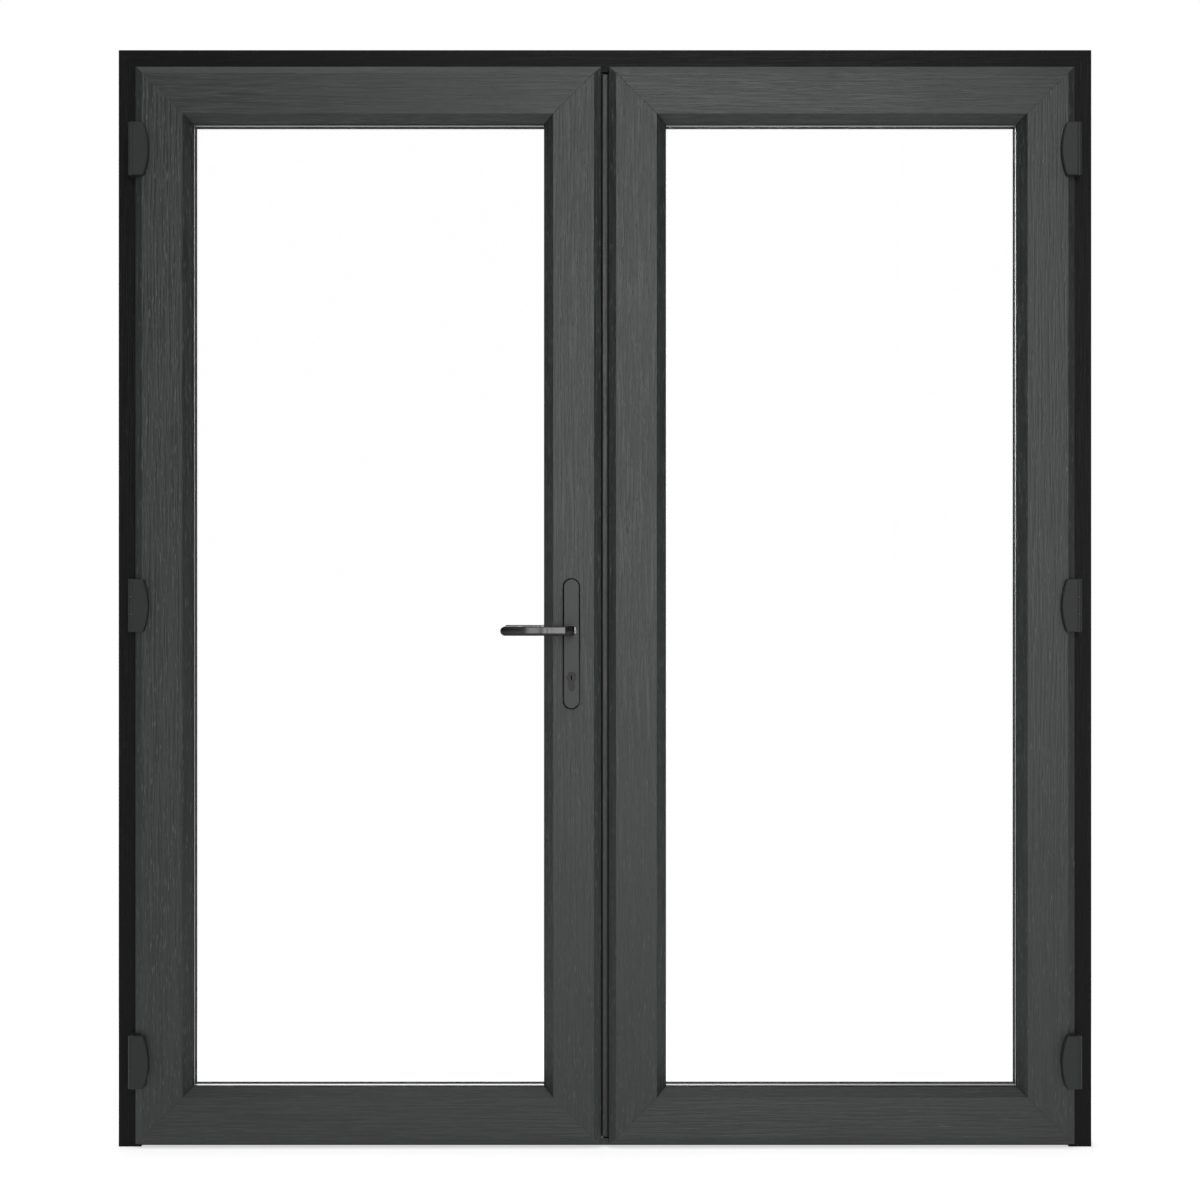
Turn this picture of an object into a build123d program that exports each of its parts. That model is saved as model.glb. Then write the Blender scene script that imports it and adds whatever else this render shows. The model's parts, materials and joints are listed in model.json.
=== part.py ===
from build123d import *
import os

os.makedirs("parts", exist_ok=True)

# Driving dimensions in millimetres. X to the right, Y into the room, Z up, seen from outside.
frame_width = 1790.0
frame_height = 2018.0
frame_depth = 70.0
frame_visible = 33.5  # frame seen beside a closed leaf
wall = 3.0  # extrusion wall

leaf_proud = 20.0  # leaf face in front of the frame's face
leaf_depth = 70.0
leaf_sight = 103.5  # leaf edge to the glass line
leaf_bottom_gap = 7.5
meeting_gap = 14.6
flange_lap = 8.0  # leaf flange over the frame's face
hardware_gap = 12.0  # leaf body to the frame's rebate
upstand_lap = 8.5  # frame upstand behind the leaf body
seal_gap = 3.0
weather_seal_edge = 5.0
outer_chamfer = 13.0
outer_chamfer_drop = 8.0
inner_chamfer = 16.0
inner_chamfer_drop = 17.0
lip_edge = 2.0  # square edge of the glazing lip
glazing_rebate = 21.5
groove_width = 16.0
groove_depth = 3.0
hardware_line = 21.0  # hardware centre line in front of the leaf's room face

pane_thickness = 4.0
unit_thickness = 28.0
gasket_thickness = 3.0
packer_thickness = 5.0
spacer_height = 7.0
edge_sealant = 8.5
bead_slope = 14.0

steel_thickness = 1.5
chamber_clearance = 0.4
fit = 0.3  # clearance between pieces that move past each other
running = 0.05  # radial clearance of a pin or plug in its bore
seat = 0.02

threshold_undercut = 15.0
threshold_lip = 3.0

hinge_height = 97.0
hinge_inset = 154.0  # leaf end to the middle of its end hinge
barrel_radius = 5.5
pin_radius = 3.0
barrel_forward = 7.5  # hinge axis in front of the leaf's face
barrel_outboard = 4.7  # hinge axis outside the leaf's edge
cap_proud = 16.0
cap_width = 29.7
cap_bow = 9.5
cap_wall = 2.0
cap_over_barrel = 3.0
flag_thickness = 4.0
hinge_leaf_thickness = 2.3
knuckle_gap = 0.4
bracket_margin = 0.6  # hinge bracket beside the leaf's edge

mullion_nose = 3.7  # floating mullion's free edge, left of the middle line
mullion_wall = 4.0
mullion_end_gap = 3.0
mullion_cap = 2.0
mullion_cover = 13.0
mullion_cover_thickness = 5.0
mullion_seal_width = 2.6
mullion_face_seen = 3.7

spindle_height = 950.0
handle_inset = 54.0  # leaf edge to the spindle
spindle_side = 8.0
hub_radius = 10.0
lock_centres = 85.0  # spindle to cylinder
plate_below_cylinder = 59.0
plate_width = 31.5
plate_thickness = 9.0
plate_bevel = 2.5
plate_wall = 4.0
plate_above_spindle = 96.0
screw_inset = 12.5
screw_radius = 2.5
lever_reach = 128.0
lever_height = 17.5
lever_thickness = 11.0
lever_standoff = 46.0  # backplate to the lever's middle
lever_bend = 16.0
lever_bevel = 3.2
lever_tip_bevel = 3.0
boss_radius = 10.5
boss_length = 24.0
spindle_overhang = 16.0  # spindle past each backplate

carrier_thickness = 12.0
carrier_width = 40.0
carrier_end_gap = 2.0
faceplate_width = 16.0
faceplate_thickness = 3.0
faceplate_past_hooks = 140.0
case_thickness = 15.0
case_back = 16.5
case_above = 50.0
case_below = 28.0
latch_width = 16.0
latch_thickness = 11.0
latch_rise = 36.0
deadbolt_width = 25.0
deadbolt_drop = 44.0
bolt_length = 38.0
hook_rise = 610.0  # hooks above and below the spindle
hook_length = 46.0
hook_width = 15.0
hook_thickness = 5.0
hook_pivot_inset = 23.7
hook_pivot_radius = 4.0
cylinder_proud = 2.0
cylinder_head = 8.5
cylinder_tail = 24.5
cylinder_tail_width = 10.0
plug_radius = 6.5
cam_radius = 14.6
cam_width = 9.4

shoot_radius = 5.0
shoot_length = 300.0
shoot_travel = 16.0
shoot_x = 14.0
slider_height = 22.0
bolt_port = 13.6  # square opening for a shoot bolt
strike_thickness = 2.0
strike_length = 26.0
strike_width = 22.0
fixing_radius = 5.25
fixing_pitch = 500.0
fixing_count = 4
packer_length = 100.0
packer_inset = 80.0  # glazing rebate's corner to a packer

# Planes and lines that the pieces share.
frame_out = -frame_depth / 2
frame_in = frame_depth / 2
leaf_face = frame_out - leaf_proud
leaf_back = leaf_face + leaf_depth
leaf_edge = frame_width / 2 - frame_visible
meet_edge = meeting_gap / 2
leaf_low = leaf_bottom_gap
leaf_high = frame_height - frame_visible
flange_width = flange_lap + hardware_gap
flange_back = frame_out - seal_gap
base_width = frame_visible + flange_lap
upstand_width = frame_visible + flange_width + upstand_lap
upstand_face = leaf_back + seal_gap
lip_back = leaf_face + inner_chamfer_drop + lip_edge
glass_out = lip_back + gasket_thickness
glass_in = glass_out + unit_thickness
bead_face = glass_in + gasket_thickness
rebate_line = leaf_sight - glazing_rebate
glass_line = rebate_line + packer_thickness
spacer_out = glass_line + edge_sealant
hardware_y = leaf_back - hardware_line
hinge_x = leaf_edge + barrel_outboard
hinge_y = leaf_face - barrel_forward
hinge_heights = (leaf_low + hinge_inset, (leaf_low + leaf_high) / 2, leaf_high - hinge_inset)
threshold_top = leaf_low + flange_lap
upstand_top = leaf_low + flange_width + upstand_lap
frame_rebate_x = frame_width / 2 - base_width
upstand_x = frame_width / 2 - upstand_width
head_rebate_z = frame_height - base_width
head_upstand_z = frame_height - upstand_width
body_edge = meet_edge + flange_width
spindle_x = -(meet_edge + handle_inset)
cylinder_height = spindle_height - lock_centres
plate_height = plate_above_spindle + lock_centres + plate_below_cylinder
plate_centre = spindle_height + plate_above_spindle - plate_height / 2
faceplate_x = -(body_edge - carrier_thickness)
lock_front = faceplate_x + faceplate_thickness
case_low = cylinder_height - case_below
case_high = spindle_height + case_above
hook_heights = {"upper": spindle_height + hook_rise, "lower": spindle_height - hook_rise}
hook_pivot_x = lock_front - hook_pivot_inset
chamber_out = flange_back
chamber_edge = flange_width + wall + groove_depth


def face_of(points):
    return Face(Wire.make_polygon([Vector(*p) for p in points], close=True))


def along_y(points, y0, y1):
    """A prism of (x, z) points from y0 to y1."""
    return extrude(face_of([(x, y0, z) for x, z in points]), amount=y1 - y0, dir=(0, 1, 0))


def along_z(points, z0, z1):
    """A prism of (x, y) points from z0 to z1."""
    return extrude(face_of([(x, y, z0) for x, y in points]), amount=z1 - z0, dir=(0, 0, 1))


def along_x(points, x0, x1):
    """A prism of (y, z) points from x0 to x1."""
    return extrude(face_of([(x0, y, z) for y, z in points]), amount=x1 - x0, dir=(1, 0, 0))


def block(x0, x1, y0, y1, z0, z1):
    return along_z([(x0, y0), (x1, y0), (x1, y1), (x0, y1)], z0, z1)


def rod(start, direction, length, radius):
    """A cylinder from start, along direction."""
    return extrude(Plane(origin=start, z_dir=direction) * Circle(radius), amount=length)


def box_section(d0, d1, y0, y1):
    return [(d0, y0), (d1, y0), (d1, y1), (d0, y1)]


def rails(section, box, voids=(), sides="LRTB"):
    """Mitred lengths round a rectangle: section points are (inwards from the edge, y)."""
    x0, x1, z0, z1 = box
    reach = max(d for d, _ in section)
    y0 = min(y for _, y in section) - 1
    y1 = max(y for _, y in section) + 1
    left, right, top, bottom = (reach if side in sides else 0 for side in "LRTB")
    lengths = {
        "L": (lambda s: along_z([(x0 + d, y) for d, y in s], z0, z1),
              [(x0, z0), (x0 + reach, z0 + bottom), (x0 + reach, z1 - top), (x0, z1)]),
        "R": (lambda s: along_z([(x1 - d, y) for d, y in s], z0, z1),
              [(x1, z0), (x1 - reach, z0 + bottom), (x1 - reach, z1 - top), (x1, z1)]),
        "T": (lambda s: along_x([(y, z1 - d) for d, y in s], x0, x1),
              [(x0, z1), (x0 + left, z1 - reach), (x1 - right, z1 - reach), (x1, z1)]),
        "B": (lambda s: along_x([(y, z0 + d) for d, y in s], x0, x1),
              [(x0, z0), (x0 + left, z0 + reach), (x1 - right, z0 + reach), (x1, z0)]),
    }
    made = []
    for side in sides:
        prism, outline = lengths[side]
        length = prism(section)
        for void in voids:
            length -= prism(void)
        made.append(length & along_y(outline, y0, y1))
    return made


def welded(lengths):
    """Mitred lengths joined into one piece."""
    return lengths[0] + lengths[1:]


def group(pieces):
    """Separate pieces kept in one file."""
    solids = []
    for piece in pieces:
        solids.extend(piece.solids())
    return Compound(children=solids)


def parted(shape, regions):
    """The lengths and walls of a profile that lie in each region and meet face to face."""
    return [solid for region in regions for solid in (shape & region).solids()]


def save(name, shape):
    export_step(shape, f"parts/{name}.step")


# Frame profile: a box with an upstand on the room side that the leaf shuts against.
frame_section = [
    (0, frame_out),
    (base_width - 1.5, frame_out),
    (base_width, frame_out + 1.5),
    (base_width, upstand_face),
    (upstand_width, upstand_face),
    (upstand_width, frame_in - 7),
    (upstand_width - 7, frame_in),
    (0, frame_in),
]
frame_steel_void = box_section(wall, base_width - wall, frame_out + 11, upstand_face - wall)
frame_face_void = box_section(wall, base_width - wall, frame_out + wall, frame_out + 8.5)
frame_room_void = [
    (wall, upstand_face + wall),
    (upstand_width - wall, upstand_face + wall),
    (upstand_width - wall, frame_in - 8),
    (upstand_width - 8, frame_in - wall),
    (wall, frame_in - wall),
]

# Leaf profile: a flange over the frame outside, a box behind it and a lip for the glass.
face_end = leaf_sight - inner_chamfer
leaf_section = [
    (0, flange_back),
    (0, leaf_face + outer_chamfer_drop),
    (outer_chamfer, leaf_face),
    (face_end, leaf_face),
    (leaf_sight, leaf_face + inner_chamfer_drop),
    (leaf_sight, lip_back),
    (rebate_line, lip_back),
    (rebate_line, leaf_back),
    (flange_width, leaf_back),
    (flange_width, hardware_y + groove_width / 2),
    (flange_width + groove_depth, hardware_y + groove_width / 2),
    (flange_width + groove_depth, hardware_y - groove_width / 2),
    (flange_width, hardware_y - groove_width / 2),
    (flange_width, flange_back),
]
leaf_face_void = [
    (outer_chamfer + 1, leaf_face + wall),
    (face_end - 1, leaf_face + wall),
    (face_end + 8, leaf_face + wall + 9),
    (outer_chamfer + 1, leaf_face + wall + 9),
]
leaf_steel_void = box_section(chamber_edge, rebate_line - wall, chamber_out, leaf_back - wall)

outer_box = (-frame_width / 2, frame_width / 2, 0, frame_height)
leaf_boxes = {
    "left": (-leaf_edge, -meet_edge, leaf_low, leaf_high),
    "right": (meet_edge, leaf_edge, leaf_low, leaf_high),
}


def hinge_bracket(side, height):
    """Frame half of a hinge: two knuckles on a plate that turns into the frame's rebate."""
    inner = leaf_edge + bracket_margin
    outer = hinge_x + barrel_radius - 0.5
    low, high = height - hinge_height / 2, height + hinge_height / 2
    third = hinge_height / 3
    bracket = block(frame_rebate_x - hinge_leaf_thickness, outer, frame_out - hinge_leaf_thickness + 0.1,
                    frame_out, low, high)
    bracket += block(frame_rebate_x - hinge_leaf_thickness, frame_rebate_x,
                     frame_out - hinge_leaf_thickness + 0.1, hardware_y, low, high)
    bracket += block(inner, outer, hinge_y, frame_out, low, high)
    bracket += rod((hinge_x, hinge_y, low), (0, 0, 1), hinge_height, barrel_radius)
    bracket -= block(frame_rebate_x - 40, hinge_x + 20, hinge_y - 20, flange_back, height - third / 2,
                     height + third / 2)
    bracket -= rod((hinge_x, hinge_y, low), (0, 0, 1), hinge_height, pin_radius + seat)
    return bracket if side > 0 else mirror(bracket, Plane.YZ)


def leaf_outline(height):
    """The leaf's hinge edge beside a hinge, to trim what seats on it."""
    section = [(leaf_edge - d, y) for d, y in leaf_section[:9]]
    return along_z(section, height - hinge_height, height + hinge_height)


def cap_outline(inset, height):
    """D shape of the hinge cap, drawn in from its edge by inset."""
    straight = hinge_x - barrel_radius + cap_over_barrel - inset
    bow = straight - cap_width + 2 * inset
    half = hinge_height / 2 - inset
    shape = Line((straight, -half), (straight, half))
    shape += Line((straight, half), (bow + cap_bow, half))
    shape += ThreePointArc((bow + cap_bow, half), (bow, 0), (bow + cap_bow, -half))
    shape += Line((bow + cap_bow, -half), (straight, -half))
    outline = make_face(shape)
    corners = outline.vertices().filter_by(lambda v: v.X < straight - 1)
    outline = fillet(corners, 4.0)
    return Plane(origin=(0, 0, height), x_dir=(1, 0, 0), z_dir=(0, -1, 0)) * outline


def hinge_flag(side, height):
    """Leaf half of a hinge: a plate on the leaf's face with the middle knuckle."""
    third = hinge_height / 3 - 2 * knuckle_gap
    outer = hinge_x - barrel_radius - cap_wall - 2 * fit
    back = leaf_face + outer_chamfer_drop
    flag = Pos(0, back, 0) * extrude(cap_outline(cap_wall + fit, height), amount=outer_chamfer_drop + flag_thickness)
    flag -= block(outer, hinge_x, leaf_face - cap_proud, back, height - hinge_height, height + hinge_height)
    flag += block(outer - 6, hinge_x, hinge_y, leaf_face, height - third / 2, height + third / 2)
    flag += rod((hinge_x, hinge_y, height - third / 2), (0, 0, 1), third, barrel_radius)
    flag -= rod((hinge_x, hinge_y, height - third / 2), (0, 0, 1), third, pin_radius + running)
    flag -= leaf_outline(height)
    return flag if side > 0 else mirror(flag, Plane.YZ)


def hinge_cap(side, height):
    """Cover over the flag, with a lip in front of the knuckles."""
    front = leaf_face - cap_proud
    back = leaf_face + outer_chamfer_drop
    cap = Pos(0, back, 0) * extrude(cap_outline(0, height), amount=back - front)
    rim = cap.faces().sort_by(Axis.Y)[0].edges()
    cap = chamfer(rim, 1.8)
    pocket = Pos(0, back, 0) * extrude(cap_outline(cap_wall, height), amount=back - front - cap_wall)
    web = hinge_x - barrel_radius - fit
    third = hinge_height / 3
    pocket -= block(web - cap_wall, hinge_x + 10, front, back, height - hinge_height, height + hinge_height)
    slot = block(web - cap_wall - 1, web + 10, hinge_y, back, height - third / 2, height + third / 2)
    cap -= pocket
    cap -= slot
    cap -= rod((hinge_x, hinge_y, height - hinge_height), (0, 0, 1), 2 * hinge_height, barrel_radius + fit)
    cap -= block(web, hinge_x + 10, hinge_y, back, height - hinge_height, height + hinge_height)
    cap -= leaf_outline(height)
    return cap if side > 0 else mirror(cap, Plane.YZ)


def steel_bars(x0, x1, z0, z1, section, reach, sides):
    """Square-ended channels in a profile's chamber, clear of each other at the corners."""
    bars = []
    if "L" in sides:
        bars.append(along_z([(x0 + d, y) for d, y in section], z0 + reach, z1 - reach))
    if "R" in sides:
        bars.append(along_z([(x1 - d, y) for d, y in section], z0 + reach, z1 - reach))
    if "T" in sides:
        bars.append(along_x([(y, z1 - d) for d, y in section], x0 + reach, x1 - reach))
    if "B" in sides:
        bars.append(along_x([(y, z0 + d) for d, y in section], x0 + reach, x1 - reach))
    return bars


def channel(d0, d1, y0, y1):
    """Steel channel in a chamber, open towards the profile's outer edge."""
    a, b = d0 + chamber_clearance, d1 - chamber_clearance
    c, d = y0 + chamber_clearance, y1 - chamber_clearance
    t = steel_thickness
    return [(a, c), (b, c), (b, d), (a, d), (a, d - t), (b - t, d - t), (b - t, c + t), (a, c + t)]


def euro_outline(grow):
    """Euro cylinder's outline: a round head over a narrower tail."""
    head = Circle(cylinder_head + grow)
    tail_radius = cylinder_tail_width / 2 + grow
    tail_end = cylinder_tail - cylinder_tail_width / 2
    tail = Pos(0, -tail_end / 2) * Rectangle(2 * tail_radius, tail_end)
    tail += Pos(0, -tail_end) * Circle(tail_radius)
    return head + tail


def outward(x, y, z):
    """A plane that faces outside, with its x axis to the right and its y axis up."""
    return Plane(origin=(x, y, z), x_dir=(1, 0, 0), z_dir=(0, -1, 0))


def along_cylinder(shape, y0, y1):
    return extrude(outward(spindle_x, y1, cylinder_height) * shape, amount=y1 - y0)


# Frame, threshold and what is fixed to them.
strike = {
    "top": (head_rebate_z - strike_thickness, head_rebate_z),
    "bottom": (threshold_top, threshold_top + strike_thickness),
}


def bolt_opening(z0, z1, grow=0.0):
    """Square opening on a shoot bolt's line."""
    half = bolt_port / 2 + grow
    return block(shoot_x - half, shoot_x + half, hardware_y - half, hardware_y + half, z0, z1)


def round_bolt(back, far_low, far_high):
    """Regions of a profile along X round a bolt's opening: both lengths, the walls beside it and the far wall."""
    half = bolt_port / 2
    x0, x1 = shoot_x - half, shoot_x + half
    y0, y1 = hardware_y - half, hardware_y + half
    front = frame_out - 1
    low, high = -1, frame_height + 1
    return [
        block(-frame_width, x0, front, back, low, high),
        block(x1, frame_width, front, back, low, high),
        block(x0, x1, front, y0, low, high),
        block(x0, x1, y1, back, low, high),
        block(x0, x1, y0, y1, far_low, far_high),
    ]


def room_side(y):
    return block(-frame_width, frame_width, y, frame_in + 1, -1, frame_height + 1)


def outer_side(y):
    return block(-frame_width, frame_width, frame_out - 1, y, -1, frame_height + 1)


# Each length of the frame is its box and its upstand, mitred into the next length.
frame_lengths = rails(frame_section, outer_box, (frame_steel_void, frame_face_void, frame_room_void), "LRT")
fixing_heights = [
    hinge_heights[1] + (i - (fixing_count - 1) / 2) * fixing_pitch for i in range(fixing_count)
]
fixing_y = (frame_out + 11 + upstand_face - wall) / 2
fixings = [
    rod((s * (frame_width / 2 + 1), fixing_y, z), (-s, 0, 0), base_width + 2, fixing_radius)
    for s in (-1, 1)
    for z in fixing_heights
]
jambs = [frame_lengths[0] - fixings[:fixing_count], frame_lengths[1] - fixings[fixing_count:]]
head = frame_lengths[2] - bolt_opening(head_rebate_z - 1, head_rebate_z + wall + 1)
frame_pieces = [piece for jamb in jambs for piece in parted(jamb, [outer_side(upstand_face)])]
frame_pieces += parted(head, round_bolt(upstand_face, frame_height - wall, frame_height + 1))
frame_pieces += [piece for length in (*jambs, head) for piece in parted(length, [room_side(upstand_face)])]
save("outer_frame", group(frame_pieces))

frame_channel = channel(wall, base_width - wall, frame_out + 11, upstand_face - wall)
frame_steel = steel_bars(-frame_width / 2, frame_width / 2, 0, frame_height, frame_channel, base_width + 5, "LRT")
frame_steel[0] -= fixings[:fixing_count]
frame_steel[1] -= fixings[fixing_count:]
frame_steel[2] -= bolt_opening(head_rebate_z, frame_height, 1.0)
save("frame_steel_channels", group(frame_steel))

threshold_section = [
    (frame_out, threshold_lip),
    (frame_out + threshold_undercut, 0),
    (frame_in, 0),
    (frame_in, upstand_top - 7),
    (frame_in - 7, upstand_top),
    (upstand_face, upstand_top),
    (upstand_face, threshold_top),
    (frame_out, threshold_top),
]
threshold_wall = 2.5
threshold_front_void = [
    (frame_out + threshold_wall, threshold_lip + threshold_wall),
    (frame_out + threshold_undercut, threshold_wall),
    (upstand_face - threshold_wall, threshold_wall),
    (upstand_face - threshold_wall, threshold_top - threshold_wall),
    (frame_out + threshold_wall, threshold_top - threshold_wall),
]
threshold_back_void = [
    (upstand_face + threshold_wall, threshold_wall),
    (frame_in - threshold_wall, threshold_wall),
    (frame_in - threshold_wall, upstand_top - 8),
    (frame_in - 8, upstand_top - threshold_wall),
    (upstand_face + threshold_wall, upstand_top - threshold_wall),
]
threshold = along_x(threshold_section, -frame_rebate_x + fit, frame_rebate_x - fit)
threshold -= along_x(threshold_front_void, -frame_rebate_x, frame_rebate_x)
threshold -= along_x(threshold_back_void, -frame_rebate_x, frame_rebate_x)
for s in (-1, 1):
    x0, x1 = sorted((s * (upstand_x - fit), s * (frame_rebate_x + 1)))
    threshold -= block(x0, x1, upstand_face - fit, frame_in + 1, -1, upstand_top + 1)
threshold -= bolt_opening(threshold_wall, threshold_top + 1)
threshold_pieces = parted(threshold, round_bolt(upstand_face, -1, threshold_wall))
save("threshold", group(threshold_pieces + parted(threshold, [room_side(upstand_face)])))

frame_seal_section = box_section(frame_visible + flange_width + 2, upstand_width - 2, leaf_back + fit, upstand_face)
frame_seal = welded(rails(frame_seal_section, outer_box, (), "LRT"))
frame_seal -= block(-frame_width, frame_width, -frame_depth, frame_depth, -1, upstand_top + 1)
save("frame_seal", frame_seal)
threshold_seal = along_x(
    [(leaf_back + fit, upstand_top - 6.5), (upstand_face, upstand_top - 6.5), (upstand_face, upstand_top - 2),
     (leaf_back + fit, upstand_top - 2)],
    -(upstand_x - 1), upstand_x - 1)
save("threshold_seal", threshold_seal)

strikes = []
for low, high in strike.values():
    plate = block(shoot_x - strike_length / 2, shoot_x + strike_length / 2, hardware_y - strike_width / 2,
                  hardware_y + strike_width / 2, low, high)
    plate = chamfer(plate.edges().filter_by(Axis.Z), 3)
    strikes.append(plate - bolt_opening(low - 1, high + 1))
save("shoot_bolt_strikes", group(strikes))

for name, s in (("left", -1), ("right", 1)):
    save(f"{name}_hinge_brackets", group([hinge_bracket(s, z) for z in hinge_heights]))
    save(f"{name}_hinge_pins", group([
        rod((s * hinge_x, hinge_y, z - hinge_height / 2), (0, 0, 1), hinge_height, pin_radius)
        for z in hinge_heights
    ]))

# Leaves: sash, glass unit, gaskets, beads, packers, steel and weather seal.
bead_section = [
    (rebate_line, bead_face),
    (leaf_sight, bead_face),
    (leaf_sight, bead_face + 2),
    (leaf_sight - bead_slope, leaf_back),
    (rebate_line, leaf_back),
]
outer_gasket_section = [
    (leaf_sight - 6, lip_back),
    (leaf_sight, lip_back),
    (leaf_sight + 1.5, lip_back + 1.2),
    (leaf_sight + 1.5, glass_out),
    (leaf_sight - 6, glass_out),
]
inner_gasket_section = box_section(leaf_sight - 6, leaf_sight + 1.5, glass_in, bead_face)
seal_section = [
    (weather_seal_edge, flange_back),
    (flange_lap + 0.4, flange_back),
    (flange_lap - 1.5, frame_out - fit),
    (weather_seal_edge, frame_out - fit),
]

lock_slot = block(lock_front - 60, -body_edge + 1, hardware_y - case_thickness / 2 - 0.5,
                  hardware_y + case_thickness / 2 + 0.5, case_low - 1, case_high + 1)
hook_case_low, hook_case_high = 16.0, 58.0
hook_case_back = hook_pivot_x - 14
hook_slots = [
    block(hook_case_back - 1, -body_edge + 1, hardware_y - case_thickness / 2 - 0.5,
          hardware_y + case_thickness / 2 + 0.5, z - hook_case_low - 1, z + hook_case_high + 1)
    for z in hook_heights.values()
]
screw_heights = (plate_centre - plate_height / 2 + screw_inset, plate_centre + plate_height / 2 - screw_inset)
handle_holes = [rod((spindle_x, leaf_face - 1, spindle_height), (0, 1, 0), leaf_depth + 2, hub_radius + 1)]
handle_holes += [
    rod((spindle_x, leaf_face - 1, z), (0, 1, 0), leaf_depth + 2, screw_radius + 1) for z in screw_heights
]
handle_holes.append(along_cylinder(euro_outline(0.8), leaf_face - 1, leaf_back + 1))

for name, s in (("left", -1), ("right", 1)):
    box = leaf_boxes[name]
    x0, x1, z0, z1 = box
    hinge_side = "L" if s < 0 else "R"
    sash = welded(rails(leaf_section, box, (leaf_face_void, leaf_steel_void)))
    steel = steel_bars(x0, x1, z0, z1, channel(chamber_edge, rebate_line - wall, chamber_out, leaf_back - wall),
                       rebate_line + 3, "LRTB")
    if s < 0:
        sash -= [lock_slot] + hook_slots + handle_holes
        steel[1] -= block(x1 - rebate_line, x1, leaf_face, leaf_back,
                          plate_centre - plate_height / 2, plate_centre + plate_height / 2)
    save(f"{name}_sash", sash)
    save(f"{name}_steel_channels", group(steel))
    for pane, y0 in (("outer", glass_out), ("inner", glass_in - pane_thickness)):
        save(f"{name}_{pane}_pane", block(x0 + glass_line, x1 - glass_line, y0, y0 + pane_thickness,
                                          z0 + glass_line, z1 - glass_line))
    spacer_section = box_section(spacer_out, spacer_out + spacer_height, glass_out + pane_thickness,
                                 glass_in - pane_thickness)
    save(f"{name}_spacer_bar", welded(rails(spacer_section, box)))
    save(f"{name}_outer_gasket", welded(rails(outer_gasket_section, box)))
    save(f"{name}_inner_gasket", welded(rails(inner_gasket_section, box)))
    save(f"{name}_glazing_beads", group(rails(bead_section, box)))

    hinge_x0, hinge_x1 = (x0 + rebate_line, x0 + glass_line) if s < 0 else (x1 - glass_line, x1 - rebate_line)
    low_inset = rebate_line + packer_inset
    high_inset = low_inset + packer_length
    packers = [block(x, x + packer_length, glass_out, glass_in, z0 + rebate_line, z0 + glass_line)
               for x in (x0 + low_inset, x1 - high_inset)]
    packers += [block(hinge_x0, hinge_x1, glass_out, glass_in, z, z + packer_length)
                for z in (z0 + low_inset, z1 - high_inset)]
    save(f"{name}_glazing_packers", group(packers))

    weather_seal = welded(rails(seal_section, box, (), hinge_side + "TB"))
    for z in hinge_heights:
        weather_seal -= block(s * leaf_edge - 20, s * leaf_edge + 20, leaf_face, frame_out + 1,
                              z - hinge_height / 2 - 1, z + hinge_height / 2 + 1)
    save(f"{name}_weather_seal", group([weather_seal]))
    save(f"{name}_hinge_flags", group([hinge_flag(s, z) for z in hinge_heights]))
    save(f"{name}_hinge_caps", group([hinge_cap(s, z) for z in hinge_heights]))

# Floating mullion on the right leaf.
mullion_low = threshold_top + mullion_end_gap
mullion_high = head_rebate_z - mullion_end_gap
nose_x = -mullion_nose
mullion_section = [(nose_x, frame_out), (body_edge, frame_out), (body_edge, leaf_back), (nose_x, leaf_back)]
mullion_void = [
    (nose_x + mullion_wall, frame_out + mullion_wall),
    (body_edge - mullion_wall, frame_out + mullion_wall),
    (body_edge - mullion_wall, leaf_back - mullion_wall),
    (nose_x + mullion_wall, leaf_back - mullion_wall),
]
cover_section = [
    (nose_x, leaf_back),
    (nose_x, leaf_back + mullion_cover_thickness - 2),
    (nose_x + 2, leaf_back + mullion_cover_thickness),
    (body_edge + mullion_cover - 2, leaf_back + mullion_cover_thickness),
    (body_edge + mullion_cover, leaf_back + mullion_cover_thickness - 2),
    (body_edge + mullion_cover, leaf_back),
]
mullion = along_z(mullion_section, mullion_low + mullion_cap, mullion_high - mullion_cap)
mullion += along_z(cover_section, upstand_top + 4, head_upstand_z - 4)
mullion -= along_z(mullion_void, mullion_low, mullion_high)
keep_thickness = 2.0
keep_width = 22.0


def keep_plate(z0, z1, openings):
    """Keep let into the mullion's free edge, with its bolt openings."""
    plate = block(nose_x, nose_x + keep_thickness, hardware_y - keep_width / 2, hardware_y + keep_width / 2, z0, z1)
    plate = fillet(plate.edges().filter_by(Axis.X), 5)
    return plate - openings


def bolt_room(z0, z1, thickness):
    """Limits in y and z of the opening for a bolt."""
    half = thickness / 2 + 1.0
    return hardware_y - half, hardware_y + half, z0 - 1.0, z1 + 1.0


def bolt_hole(room):
    return block(nose_x - 1, nose_x + mullion_wall + 1, *room)


def round_room(room):
    """Regions of the mullion beside a bolt's opening and behind it."""
    y0, y1, z0, z1 = room
    return [
        block(nose_x, body_edge, frame_out, y0, z0, z1),
        block(nose_x, body_edge, y1, leaf_back, z0, z1),
        block(body_edge - mullion_wall, body_edge, y0, y1, z0, z1),
    ]


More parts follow.
